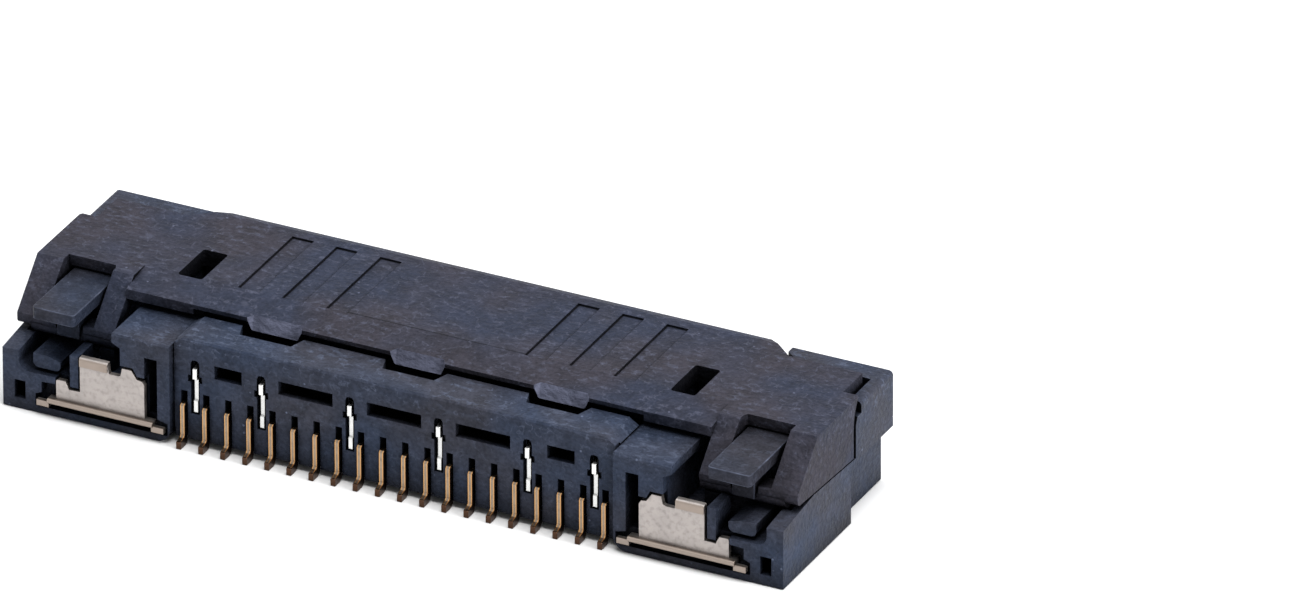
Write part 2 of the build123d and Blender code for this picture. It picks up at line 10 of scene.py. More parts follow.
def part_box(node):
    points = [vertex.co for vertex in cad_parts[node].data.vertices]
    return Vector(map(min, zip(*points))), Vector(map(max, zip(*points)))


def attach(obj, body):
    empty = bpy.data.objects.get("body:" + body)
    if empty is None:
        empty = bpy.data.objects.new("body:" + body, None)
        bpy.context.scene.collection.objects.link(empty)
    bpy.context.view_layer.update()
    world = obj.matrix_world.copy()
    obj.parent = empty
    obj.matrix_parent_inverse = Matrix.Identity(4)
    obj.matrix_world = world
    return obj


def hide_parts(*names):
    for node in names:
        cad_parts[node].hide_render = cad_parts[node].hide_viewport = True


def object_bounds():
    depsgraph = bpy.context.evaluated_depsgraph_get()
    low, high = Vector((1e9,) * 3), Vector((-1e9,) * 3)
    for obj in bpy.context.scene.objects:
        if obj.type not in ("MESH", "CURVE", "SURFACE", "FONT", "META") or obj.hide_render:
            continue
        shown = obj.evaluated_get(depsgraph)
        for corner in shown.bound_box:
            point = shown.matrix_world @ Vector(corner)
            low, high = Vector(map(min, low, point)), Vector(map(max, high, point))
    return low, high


bl_info = {
    "name": "Flat cable board connector",
    "version": (1, 0, 0),
    "blender": (4, 5, 0),
    "location": "View3D > Sidebar > Connector",
    "description": "Builds the finished pieces of a flat cable board connector over its frame",
    "category": "Object",
}

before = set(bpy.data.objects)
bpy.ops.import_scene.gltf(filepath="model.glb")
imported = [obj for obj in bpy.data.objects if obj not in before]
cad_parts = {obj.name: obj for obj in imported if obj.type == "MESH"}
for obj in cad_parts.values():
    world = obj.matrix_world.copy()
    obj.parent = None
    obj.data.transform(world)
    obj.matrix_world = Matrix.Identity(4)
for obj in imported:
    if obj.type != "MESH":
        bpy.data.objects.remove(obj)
CAD_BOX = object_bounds()
SIGNALS = sorted(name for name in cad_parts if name.startswith("contact_"))
SHIELDS = sorted(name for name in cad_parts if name.startswith("shield_plate_"))
SIDES = ("left", "right")
MM = 0.001

# Lengths and places are in millimetres from here on, where nothing else is said

# Signal contacts: their pitch, the ends of their solder toes, and how far the cut shows there
PITCH = 0.5
TOE_END = CAD_BOX[1][1] / MM
TOE_CUT = 0.05

# Where a signal contact's band of painted highlight and its cut side start, as parts of the pitch
# from its middle
RIM_HIGHLIGHT_START = (0.045, 0.065)
CUT_START = (0.08, 0.095)

# Rear face of the body, past which the hold-downs are tarnished
BODY_REAR = 5.0

# Length over which a sheet's colour changes into that of its end
END_FADE = 0.02

# Heights between which the plastic goes from sheltered to exposed, and scuffs of a sheltered face
EXPOSED_Z = (2.0, 2.3)
SHELTERED_SCUFFS = 0.4

# The cover's two holes, with the margins within which a face or edge belongs to one
HOLE_X = 5.56
HOLE_Y = (1.815, 2.98)
HOLE_X_REACH = 0.3
HOLE_Y_REACH = 0.01
HOLE_LEAST_DEPTH = 0.3
HOLE_CORNER = 0.07
HOLE_CORNER_SEGMENTS = 3

# The cover's grip recesses with the width of their outline of painted shade, and the line where
# its top starts to slope to the rear edge, with the width of its painted shade
COVER_TOP = 2.74
GRIP_FLOOR = 2.705
GRIP_OUTLINE = 0.05
SLOPE_START_Y = 2.92
SLOPE_START_WIDTH = 0.02
SLOPE_START_LEAST_LENGTH = 1

# The three teeth at the cover's rear edge, each with a top edge that is set back and so slopes
REAR_EDGE_Y = 3.77
REAR_EDGE_Z = 2.59
TOOTH_XS = (-3.235, 0, 3.235)
TOOTH_HALF = 0.62
TOOTH_FLAT = 0.53
TOOTH_SET = 0.13
TOOTH_RISE = (COVER_TOP - REAR_EDGE_Z) / (REAR_EDGE_Y - SLOPE_START_Y)

# Slit between the cover's skirt and the body at each end, and the width of painted shade on its
# rim
SLIT_X = 8.45
SLIT_Y = (1.35, 1.85)
SLIT_LOW = 1.3
SLIT_RIM = 0.045

# How strongly painted shade darkens the faces of each recess, slit, hole, outline and narrow step,
# from 0 to 1
SLIT_DARK = 1
HOLE_DARK = 0.9
GRIP_DARK = 0.75
SLOPE_START_DARK = 0.6
STEP_DARK = 1

# Points this close are merged, and faces this flat to each other are joined
MERGE = 0.0005
FLAT = math.radians(0.6)

# Reach of a test for the place of a face or edge, for that of a corner, and of a cut
NEAR = 0.005
AT_CORNER = 0.001
AT_CUT = 0.0001

# How much of a face's unit normal points one way
SQUARELY = 0.99
MAINLY = 0.9
SLOPING = 0.7
PARTLY = 0.3
BARELY = 0.2

# Outer edges sharper than this are rounded, and less so beside faces narrower than this
SHARP = math.radians(32)
NARROW = 0.1
LEAST_ROUNDING = 0.25
ROUNDING_SEGMENTS = 2

# Faces with this many sides or more are cut into triangles
MANY_SIDES = 5

# Red, green and blue of a tint as parts of those of its base colour
COOL_AREA = (0.92, 1.02, 1.15)
WARM_AREA = (1.18, 1.04, 0.95)
# Painted highlight near the rims of the signal contacts
PAINTED_RIM_HIGHLIGHT = (2, 1.45, 0.8)
TARNISH = (0.7, 0.64, 0.58)

# Lightness of the darkest painted shade in a recess, and of a place lightened by rubbing and
# painted light, as parts of the plastic's own
PAINTED_SHADE_LEVEL = 0.1
WEAR_AND_LIGHT_LIFT = 3.4

# How much smoother the plastic's rounded edges are, whose lighter colour is partly wear and partly
# painted highlight
EDGE_POLISH = 0.05

# Camera: the point that it turns about and its clipping in metres, its film and framing
CAMERA_TARGET = Vector((0, 2.5, 1.2)) * MM
CAMERA_CLIP = (0.01, 20)
FILM_WIDTH = 36
CAMERA_SHIFT = (0.1552, 0.0736)

# Half of the floor's side in metres, and the colours of the floor and the sky
FLOOR_REACH = 1.0
FLOOR_COLOUR = (0.93, 0.93, 0.93, 1)
SKY_COLOUR = (0.96, 0.98, 1, 1)

# Lights: name, place and size in metres, and share of the key light's power
LIGHTS = (
    ("key", (-0.05, 0.02, 0.3), 0.18, 1.0),
    ("fill", (-0.28, 0.02, 0.12), 0.15, 0.75),
    ("side", (0.28, -0.06, 0.1), 0.15, 0.5),
)

# Places of nodes in an editor, in its own units
COLUMN_WIDTH = 220
ROW_HEIGHT = 320


class PlasticSettings(bpy.types.PropertyGroup):
    """Colours and edge rounding of the moulded pieces."""

    body_colour: FloatVectorProperty(
        name="Body colour", description="Blue-grey of the moulded body",
        subtype="COLOR", size=4, min=0, max=1, default=(0.046, 0.055, 0.082, 1))
    lever_colour: FloatVectorProperty(
        name="Lever colour", description="Darker blue-grey of the press levers",
        subtype="COLOR", size=4, min=0, max=1, default=(0.036, 0.041, 0.059, 1))
    cover_colour: FloatVectorProperty(
        name="Cover colour", description="Darker violet-grey of the lock cover",
        subtype="COLOR", size=4, min=0, max=1, default=(0.04, 0.043, 0.062, 1))
    # Edge lift is partly wear and partly painted highlight on the rounded edges
    edge_wear_and_highlight: FloatProperty(
        name="Edge lift", description="How much lighter the worn edges are",
        default=2.6, min=1, max=5)
    body_round: FloatProperty(
        name="Body rounding", description="Edge rounding of the body and levers",
        default=0.018 * MM, unit="LENGTH")
    cover_round: FloatProperty(
        name="Cover rounding", description="Edge rounding of the cover",
        default=0.025 * MM, unit="LENGTH")


class MetalSettings(bpy.types.PropertyGroup):
    """Colours and edge rounding of the stamped pieces."""

    gold_colour: FloatVectorProperty(
        name="Gold colour", description="Plating of the signal contacts",
        subtype="COLOR", size=4, min=0, max=1, default=(0.32, 0.245, 0.18, 1))
    bright_colour: FloatVectorProperty(
        name="Bright colour", description="Plating of the shield plates",
        subtype="COLOR", size=4, min=0, max=1, default=(0.86, 0.86, 0.85, 1))
    tin_colour: FloatVectorProperty(
        name="Tin colour", description="Plating of the hold-downs",
        subtype="COLOR", size=4, min=0, max=1, default=(0.46, 0.42, 0.4, 1))
    cut_colour: FloatVectorProperty(
        name="Cut colour", description="Dark copper brown on the cut sides of the signal contacts",
        subtype="COLOR", size=4, min=0, max=1, default=(0.09, 0.048, 0.03, 1))
    metal_round: FloatProperty(
        name="Metal rounding", description="Edge rounding of the stamped sheet",
        default=0.012 * MM, unit="LENGTH")


class StageSettings(bpy.types.PropertyGroup):
    """Camera and light."""

    azimuth: FloatProperty(
        name="Azimuth", description="Camera direction about the upright axis",
        subtype="ANGLE", default=math.radians(207.05))
    elevation: FloatProperty(
        name="Elevation", description="Camera height angle",
        subtype="ANGLE", default=math.radians(28.51))
    roll: FloatProperty(
        name="Roll", description="Camera roll", subtype="ANGLE", default=math.radians(-0.4))
    distance: FloatProperty(
        name="Distance", description="Camera distance from the target",
        default=536.8 * MM, unit="LENGTH")
    lens: FloatProperty(
        name="Lens", description="Focal length in millimetres", default=740, unit="CAMERA")
    key_power: FloatProperty(
        name="Key light", description="Power of the main soft light", default=0.88, unit="POWER")
    world_strength: FloatProperty(
        name="Sky", description="Strength of the even light all round", default=0.3)


class ConnectorSettings(bpy.types.PropertyGroup):
    """All settings of the connector."""

    plastic: PointerProperty(type=PlasticSettings, name="Plastic", description="Moulded pieces")
    metal: PointerProperty(type=MetalSettings, name="Metal", description="Stamped pieces")
    stage: PointerProperty(type=StageSettings, name="Stage", description="Camera and light")


def settings():
    """All settings of the scene."""
    return bpy.context.scene.connector


# Node trees

def node(tree, kind, **values):
    """A node with its properties and named inputs set."""
    made = tree.nodes.new(kind)
    for key, value in values.items():
        if key in made.inputs:
            made.inputs[key].default_value = value
        else:
            setattr(made, key, value)
    return made


def feed(tree, value, socket):
    """Give an input a socket's value, or a number or colour."""
    if hasattr(value, "is_linked"):
        tree.links.new(value, socket)
    else:
        socket.default_value = value


def arrange(tree):
    """Set a tree's nodes in columns, each node left of all that it feeds."""
    column = {item.name: 0 for item in tree.nodes}
    ends = [(link.from_node.name, link.to_node.name) for link in tree.links]
    for _ in column:
        for source, target in ends:
            column[source] = max(column[source], column[target] + 1)
    filled = {}
    for item in tree.nodes:
        place = column[item.name]
        filled[place] = filled.get(place, 0) + 1
        item.location = (-COLUMN_WIDTH * place, -ROW_HEIGHT * filled[place])


# Colours and patterns

def tinted(colour, factors):
    """Colour with its red, green and blue each made lighter or darker."""
    return tuple(min(1, part * factor) for part, factor in zip(colour, factors)) + (1,)


def scaled(colour, factor):
    """Colour made lighter or darker."""
    return tinted(colour, (factor,) * 3)


def maths(tree, operation, first, second=0):
    """Result of an operation on sockets or numbers."""
    made = node(tree, "ShaderNodeMath", operation=operation)
    feed(tree, first, made.inputs[0])
    feed(tree, second, made.inputs[1])
    return made.outputs[0]


def mix(tree, factor, first, second, mode="MIX"):
    """Colour mix of two sockets or colours by a factor socket or number."""
    made = node(tree, "ShaderNodeMix", data_type="RGBA", blend_type=mode)
    feed(tree, factor, made.inputs[0])
    feed(tree, first, made.inputs[6])
    feed(tree, second, made.inputs[7])
    return made.outputs[2]


def shaded(tree, base, level):
    """Base colour darkened by a grey level."""
    return mix(tree, 1.0, base, level, "MULTIPLY")


def ramp(tree, source, low, high, first=0, last=1):
    """Grey level that goes from first to last while the source goes from low to high."""
    made = node(tree, "ShaderNodeValToRGB")
    stops = zip(made.color_ramp.elements, (low, high), (first, last))
    for element, position, level in stops:
        element.position = position
        element.color = (level, level, level, 1)
    tree.links.new(source, made.inputs["Fac"])
    return made.outputs["Color"]


def rise(tree, source, low, high, start=0):
    """Value that rises from a start to one while the source goes from low to high."""
    made = node(tree, "ShaderNodeMapRange",
                **{"From Min": low, "From Max": high, "To Min": start})
    tree.links.new(source, made.inputs["Value"])
    return made.outputs["Result"]


def noise(tree, where, scale, detail, stretch=None):
    """Noise over coordinates in millimetres, stretched if asked."""
    if stretch:
        mapping = node(tree, "ShaderNodeMapping", Scale=stretch)
        tree.links.new(where, mapping.inputs["Vector"])
        where = mapping.outputs["Vector"]
    made = node(tree, "ShaderNodeTexNoise", Scale=scale, Detail=detail)
    tree.links.new(where, made.inputs["Vector"])
    return made.outputs["Fac"]


def wisps(tree, source, width):
    """Thin curved lines where a noise crosses its middle value."""
    offset = maths(tree, "SUBTRACT", source, 0.5)
    return ramp(tree, maths(tree, "ABSOLUTE", offset), 0, width, first=1, last=0)


def dots(tree, where, scale, size, share):
    """Small round dots in a share of the cells of a grid."""
    cells = node(tree, "ShaderNodeTexVoronoi", Scale=scale)
    tree.links.new(where, cells.inputs["Vector"])
    spot = ramp(tree, cells.outputs["Distance"], size / 2, size, first=1, last=0)
    chosen = ramp(tree, cells.outputs["Color"], share, share + 0.01, first=1, last=0)
    return maths(tree, "MULTIPLY", spot, chosen)


def painted_crevice_shade(tree, base, reach, dark):
    """Painted shade: base colour darkened where other faces stand within reach, as in slots and
    corners.
    """
    near_by = node(tree, "ShaderNodeAmbientOcclusion", Distance=reach * MM, samples=3)
    return shaded(tree, base, ramp(tree, near_by.outputs["AO"], 0.35, 0.85, first=dark))


def bump(tree, shader, layers):
    """Bump from height sockets, each with its strength and its depth in millimetres."""
    normal = None
    for height, strength, depth in layers:
        made = node(tree, "ShaderNodeBump", Strength=strength, Distance=depth * MM)
        tree.links.new(height, made.inputs["Height"])
        if normal:
            tree.links.new(normal, made.inputs["Normal"])
        normal = made.outputs["Normal"]
    tree.links.new(normal, shader.inputs["Normal"])


# Materials

def start_material(name):
    """New material, its tree, its shader, object coordinates in millimetres and their parts."""
    material = bpy.data.materials.new(name)
    material.use_nodes = True
    tree = material.node_tree
    source = node(tree, "ShaderNodeTexCoord")
    mapping = node(tree, "ShaderNodeMapping", Scale=(1 / MM,) * 3)
    tree.links.new(source.outputs["Object"], mapping.inputs["Vector"])
    where = mapping.outputs["Vector"]
    split = node(tree, "ShaderNodeSeparateXYZ")
    tree.links.new(where, split.inputs["Vector"])
    return material, tree, tree.nodes["Principled BSDF"], where, split.outputs


def moulded_plastic(name, colour, scuffed, rough, wear_and_highlight=0):
    """Glass-filled moulded plastic: cool and warm areas, mottling, scuffs, wisps and pits, painted
    shade in recesses and crevices, and places lightened by wear and painted light.
    """
    material, tree, shader, where, along = start_material(name)
    area = noise(tree, where, scale=0.4, detail=2)
    cloud = noise(tree, where, scale=2.4, detail=7)
    patch = noise(tree, where, scale=0.8, detail=4)
    streak = noise(tree, where, scale=1.0, detail=9, stretch=(4, 8, 8))
    curl = noise(tree, where, scale=3.6, detail=7)
    grain = noise(tree, where, scale=14, detail=5)
    exposed = rise(tree, along["Z"], *EXPOSED_Z, start=SHELTERED_SCUFFS)
    rubs = maths(tree, "MULTIPLY", ramp(tree, streak, 0.54, 0.66),
                 ramp(tree, patch, 0.42, 0.62, first=0.15))
    rubs = maths(tree, "MULTIPLY", rubs, exposed)
    fibres = maths(tree, "MULTIPLY", wisps(tree, curl, width=0.03),
                   ramp(tree, streak, 0.44, 0.58))
    fibres = maths(tree, "MULTIPLY", fibres, exposed)
    chips = dots(tree, where, scale=5, size=0.16, share=0.16)
    pits = dots(tree, where, scale=9, size=0.22, share=0.3)

    base = mix(tree, ramp(tree, area, 0.4, 0.6),
               tinted(colour, COOL_AREA), tinted(colour, WARM_AREA))
    base = shaded(tree, base, ramp(tree, cloud, 0.36, 0.62, first=0.7))
    base = shaded(tree, base, ramp(tree, grain, 0.36, 0.6, first=0.72))
    for pattern, strength, lift in ((rubs, scuffed, 1.9), (fibres, scuffed, 2.6),
                                    (chips, 0.6, 4.0), (pits, 0.55, 0.45)):
        base = mix(tree, maths(tree, "MULTIPLY", pattern, strength), base, scaled(colour, lift))
    # Rounded edges lightened in patches, partly wear and partly painted highlight
    if wear_and_highlight:
        base = mix(tree, ramp(tree, cloud, 0.4, 0.66, first=0.15), base, scaled(colour, wear_and_highlight))
    # Painted shade on the faces of recesses, slits, holes and narrow steps
    recess = node(tree, "ShaderNodeAttribute", attribute_name="recess")
    base = mix(tree, recess.outputs["Fac"], base, scaled(colour, PAINTED_SHADE_LEVEL))
    # Painted shade in crevices and corners
    base = painted_crevice_shade(tree, base, reach=0.8, dark=0.08)
    base = painted_crevice_shade(tree, base, reach=0.08, dark=0.25)
    # Rear teeth lightened, partly by rubbing and partly as painted light
    rubbed = node(tree, "ShaderNodeAttribute", attribute_name="rubbed")
    worn_and_lit_mask = maths(tree, "MULTIPLY", rubbed.outputs["Fac"],
                 ramp(tree, cloud, 0.35, 0.65, first=0.45))
    base = mix(tree, worn_and_lit_mask, base, scaled(colour, WEAR_AND_LIGHT_LIFT))

    tree.links.new(base, shader.inputs["Base Color"])
    tree.links.new(ramp(tree, cloud, 0.3, 0.7, first=rough - 0.08, last=rough + 0.1),
                   shader.inputs["Roughness"])
    shader.inputs["Specular IOR Level"].default_value = 0.06
    bump(tree, shader, ((grain, 0.8, 0.025), (streak, 0.9, 0.04), (pits, -0.6, 0.015)))
    arrange(tree)
    return material


def worn_and_highlit_plastic(name, colour, scuffed, rough):
    """Moulded plastic, and the same for its rounded edges, lighter in places by wear and painted
    highlight.
    """
    lift = settings().plastic.edge_wear_and_highlight
    return (moulded_plastic(name, colour, scuffed, rough),
            moulded_plastic(f"{name}_edge", colour, scuffed, rough - EDGE_POLISH, wear_and_highlight=lift))


def plated_metal(name, colour, rough, brushed, dull, end=None, cut=None):
    """Plated sheet with rolling lines, cloudiness, dull spots and painted shade in crevices.

    It may have an end, given by its start along Y and its colour, and cut sides of a colour, each
    with a band of painted highlight inside it.
    """
    material, tree, shader, where, along = start_material(name)
    cloud = noise(tree, where, scale=2.5, detail=5)
    lines = noise(tree, where, scale=1.0, detail=6, stretch=brushed)
    spots = noise(tree, where, scale=9, detail=7)
    base = mix(tree, ramp(tree, cloud, 0.35, 0.65), scaled(colour, 0.82), colour)
    base = mix(tree, ramp(tree, spots, 0.48, 0.68, last=dull), base, scaled(colour, 0.5))
    if cut:
        off_middle = along["X"]
        for operation, value in (("DIVIDE", PITCH), ("FRACT", 0), ("SUBTRACT", 0.5),
                                 ("ABSOLUTE", 0)):
            off_middle = maths(tree, operation, off_middle, value)
        # Painted highlight in a band near each contact's rim
        base = mix(tree, ramp(tree, off_middle, *RIM_HIGHLIGHT_START), base, tinted(colour, PAINTED_RIM_HIGHLIGHT))
        base = mix(tree, ramp(tree, off_middle, *CUT_START), base, cut)
    if end:
        start, end_colour = end
        base = mix(tree, rise(tree, along["Y"], start, start + END_FADE), base, end_colour)
    # Painted shade in crevices and corners
    base = painted_crevice_shade(tree, base, reach=0.3, dark=0.35)

    tree.links.new(base, shader.inputs["Base Color"])
    shader.inputs["Metallic"].default_value = 1
    tree.links.new(ramp(tree, cloud, 0.3, 0.7, first=rough - 0.06, last=rough + 0.1),
                   shader.inputs["Roughness"])
    bump(tree, shader, ((lines, 0.25, 0.003), (spots, 0.2, 0.003)))
    arrange(tree)
    return material


# Shapes

def near(value, place, reach=NEAR):
    """Whether a value is at a place, within a reach."""
    return abs(value - place) < reach


def middle(edge):
    """Middle of an edge."""
    return (edge.verts[0].co + edge.verts[1].co) / 2


def in_hole(point):
    """Whether a point lies at one of the cover's two holes."""
    return (near(abs(point.x), HOLE_X, HOLE_X_REACH)
            and HOLE_Y[0] - HOLE_Y_REACH < point.y < HOLE_Y[1] + HOLE_Y_REACH)


def rim(work, layer, level, edges, width, segments=1):
    """Bevel along edges, its faces marked in a layer."""
    made = bmesh.ops.bevel(work, geom=edges, offset=width, segments=segments, profile=0.5,
                           affect="EDGES", clamp_overlap=True)
    for face in made["faces"]:
        face[layer] = level


def shape_slits(work, recess, facing):
    """Walls and rims of the slits painted with shade, for the side that faces along Y as given."""
    walls = set()
    for face in work.faces:
        point = face.calc_center_median()
        if (abs(point.x) > SLIT_X and SLIT_Y[0] < point.y < SLIT_Y[1] and point.z > SLIT_LOW
                and face.normal.y * facing > PARTLY):
            face[recess] = SLIT_DARK
            walls.add(face)
    ends = {face for face in work.faces
            if abs(face.normal.x) > MAINLY and abs(face.calc_center_median().x) > SLIT_X}
    outer = [edge for edge in work.edges if len(walls.intersection(edge.link_faces)) == 1
             and ends.intersection(edge.link_faces)]
    rim(work, recess, SLIT_DARK, outer, SLIT_RIM)


def shape_body(work, recess, rubbed):
    """Body with painted shade in the slits at its ends, and no place lightened by rubbing or
    painted light.
    """
    shape_slits(work, recess, 1)


def shape_cover(work, recess, rubbed):
    """Cover with round hole corners, painted shade in its slits, holes, grip outlines and slope
    line, and rear teeth lightened by rubbing and painted light.
    """
    shape_slits(work, recess, -1)
    corners = [edge for edge in work.edges if in_hole(middle(edge))
               and abs(edge.verts[0].co.z - edge.verts[1].co.z) > HOLE_LEAST_DEPTH]
    rim(work, recess, HOLE_DARK, corners, HOLE_CORNER, HOLE_CORNER_SEGMENTS)
    for face in work.faces:
        if abs(face.normal.z) < BARELY and in_hole(face.calc_center_median()):
            face[recess] = HOLE_DARK
    floors = [face for face in work.faces
              if face.normal.z > SQUARELY and near(face.calc_center_median().z, GRIP_FLOOR)]
    outlines = bmesh.ops.inset_individual(work, faces=floors, thickness=GRIP_OUTLINE)["faces"]
    for face in outlines:
        face[recess] = GRIP_DARK
    slope_start = [edge for edge in work.edges
                   if edge.calc_length() > SLOPE_START_LEAST_LENGTH
                   and near(middle(edge).z, COVER_TOP)
                   and all(near(vert.co.y, SLOPE_START_Y) for vert in edge.verts)]
    rim(work, recess, SLOPE_START_DARK, slope_start, SLOPE_START_WIDTH)
    for centre in TOOTH_XS:
        shape_tooth(work, rubbed, centre)


def shape_tooth(work, rubbed, centre):
    """Rear tooth of the cover, its top edge set back so that it slopes, and its rear faces marked
    to be lightened by rubbing and painted light.
    """
    for offset in (-TOOTH_HALF, -TOOTH_FLAT, TOOTH_FLAT, TOOTH_HALF):
        rear = [face for face in work.faces
                if face.normal.y > SQUARELY and near(face.calc_center_median().y, REAR_EDGE_Y)]
        parts = [part for face in rear for part in (face, *face.edges, *face.verts)]
        bmesh.ops.bisect_plane(work, geom=list(dict.fromkeys(parts)), dist=AT_CUT,
                               plane_co=(centre + offset, 0, 0), plane_no=(1, 0, 0))
    for vert in work.verts:
        if (near(abs(vert.co.x - centre), TOOTH_FLAT, AT_CORNER)
                and near(vert.co.y, REAR_EDGE_Y, AT_CORNER)
                and near(vert.co.z, REAR_EDGE_Z, AT_CORNER)):
            vert.co.y -= TOOTH_SET
            vert.co.z += TOOTH_SET * TOOTH_RISE
    for face in work.faces:
        point = face.calc_center_median()
        if (face.normal.y > SLOPING and near(point.y, REAR_EDGE_Y, TOOTH_SET)
                and near(point.x, centre, TOOTH_HALF)):
            face[rubbed] = 1


# Pieces

def merged_copy(name, shape=None):
    """Mesh of a frame node in millimetres: merged, shaped if asked, its edges marked for rounding
    and its faces for painted shade.
    """
    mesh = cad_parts[name].data.copy()
    work = bmesh.new()
    work.from_mesh(mesh)
    work.transform(Matrix.Scale(1 / MM, 4))
    bmesh.ops.remove_doubles(work, verts=work.verts, dist=MERGE)
    bmesh.ops.dissolve_limit(
        work, angle_limit=FLAT, verts=work.verts, edges=work.edges, delimit={"NORMAL"})
    bmesh.ops.recalc_face_normals(work, faces=work.faces)
    rounding = work.edges.layers.float.new("bevel_weight_edge")
    recess = work.faces.layers.float.new("recess")
    rubbed = work.faces.layers.float.new("rubbed")
    if shape:
        shape(work, recess, rubbed)
        bmesh.ops.dissolve_degenerate(work, dist=MERGE, edges=work.edges)
        work.normal_update()
    for edge in work.edges:
        angle = edge.calc_face_angle_signed(0)
        smaller = min(edge.link_faces, key=lambda face: face.calc_area())
        depth = smaller.calc_area() / edge.calc_length()
        # Narrow faces in concave steps get painted shade
        if angle < -SHARP and depth < NARROW / 2:
            smaller[recess] = STEP_DARK
        elif angle > SHARP and not any(face[recess] for face in edge.link_faces):
            edge[rounding] = min(1, max(LEAST_ROUNDING, depth / NARROW))
    work.to_mesh(mesh)
    work.free()
    return mesh


def new_object(name, data):
    """New object in the scene."""
    made = bpy.data.objects.new(name, data)
    bpy.context.scene.collection.objects.link(made)
    return made


def make_plain(made):
    """Turn what an object's modifiers make into its own plain mesh."""
    bpy.context.view_layer.update()
    evaluated = made.evaluated_get(bpy.context.evaluated_depsgraph_get())
    result = bpy.data.meshes.new_from_object(evaluated)
    made.modifiers.clear()
    made.data = result
    result.name = made.name


def rounded(name, mesh, materials, width):
    """Object of a mesh in millimetres with its marked edges rounded, at full size in metres."""
    mesh.materials.clear()
    for material in materials:
        mesh.materials.append(material)
    for face in mesh.polygons:
        face.material_index = 0
        face.use_smooth = False
    made = new_object(name, mesh)
    bevel = made.modifiers.new("Rounding", "BEVEL")
    bevel.width = width / MM
    bevel.segments = ROUNDING_SEGMENTS
    bevel.limit_method = "WEIGHT"
    bevel.use_clamp_overlap = True
    bevel.loop_slide = True
    bevel.miter_outer = "MITER_SHARP"
    # Rounded edges take the last material, which on plastic adds wear and painted highlight
    bevel.material = len(materials) - 1
    bevel.harden_normals = False
    triangles = made.modifiers.new("Triangles", "TRIANGULATE")
    triangles.min_vertices = MANY_SIDES
    make_plain(made)
    made.data.transform(Matrix.Scale(MM, 4))
    return made


def seat(piece, body, slot, *nodes):
    """The piece rides on a body and stands for frame nodes."""
    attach(piece, body)
    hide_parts(*nodes)


# Rows of like pieces

def middle_x(name):
    """Middle of a node along the row."""
    low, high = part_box(name)
    return (low.x + high.x) / 2


def row_tree(name):
    """Geometry Nodes tree that sets a piece at each point of a row."""
    tree = bpy.data.node_groups.new(name, "GeometryNodeTree")
    for socket, in_out, kind in (
            ("Places", "INPUT", "Geometry"), ("Piece", "INPUT", "Object"),
            ("Finish", "INPUT", "Material"), ("Row", "OUTPUT", "Geometry")):
        tree.interface.new_socket(socket, in_out=in_out, socket_type=f"NodeSocket{kind}")
    start = node(tree, "NodeGroupInput")
    info = node(tree, "GeometryNodeObjectInfo")
    points = node(tree, "GeometryNodeMeshToPoints")
    copies = node(tree, "GeometryNodeInstanceOnPoints")
    real = node(tree, "GeometryNodeRealizeInstances")
    finish = node(tree, "GeometryNodeSetMaterial")
    end = node(tree, "NodeGroupOutput")
    link = tree.links.new
    link(start.outputs["Places"], points.inputs["Mesh"])
    link(start.outputs["Piece"], info.inputs["Object"])
    link(points.outputs["Points"], copies.inputs["Points"])
    link(info.outputs["Geometry"], copies.inputs["Instance"])
    link(copies.outputs["Instances"], real.inputs["Geometry"])
    link(real.outputs["Geometry"], finish.inputs["Geometry"])
    link(start.outputs["Finish"], finish.inputs["Material"])
    link(finish.outputs["Geometry"], end.inputs["Row"])
    arrange(tree)
    return tree


def build_row(name, nodes, material, slot):
    """One piece for a row of like nodes, each a copy of the first at its own place."""
    first = nodes[0]
    pattern = rounded(f"{name}_pattern", merged_copy(first), (material,),
                      settings().metal.metal_round)
    pattern.data.transform(Matrix.Translation((-middle_x(first), 0, 0)))
    places = bpy.data.meshes.new(f"{name}_places")
    places.from_pydata([(middle_x(source), 0, 0) for source in nodes], [], [])
    piece = new_object(name, places)
    modifier = piece.modifiers.new("Row", "NODES")
    modifier.node_group = row_tree(f"{name}_row")
    sockets = {item.name: item.identifier for item in modifier.node_group.interface.items_tree}
    modifier[sockets["Piece"]] = pattern
    modifier[sockets["Finish"]] = material
    make_plain(piece)
    bpy.data.objects.remove(pattern)
    seat(piece, "base", slot, *nodes)


# Operators

class CONNECTOR_OT_body(bpy.types.Operator):
    """Build the moulded body with rounded edges, lighter in places by wear and painted highlight.
    """

    bl_idname = "connector.body"
    bl_label = "Moulded body"

    def execute(self, context):
        plastic = settings().plastic
        materials = worn_and_highlit_plastic("body_plastic", plastic.body_colour, scuffed=0.5, rough=0.48)
        piece = rounded("moulded_body", merged_copy("housing", shape_body), materials,
                        plastic.body_round)
        seat(piece, "base", "housing_plastic", "housing")
        return {"FINISHED"}


class CONNECTOR_OT_cover(bpy.types.Operator):
    """Build the lock cover with its rear edge lightened by rubbing and painted light."""

    bl_idname = "connector.cover"
    bl_label = "Lock cover"

    def execute(self, context):
        plastic = settings().plastic
        materials = worn_and_highlit_plastic("cover_plastic", plastic.cover_colour, scuffed=0.5, rough=0.56)
        piece = rounded("lock_cover", merged_copy("cover", shape_cover), materials,
                        plastic.cover_round)
        seat(piece, "cover", "cover_plastic", "cover")
        return {"FINISHED"}


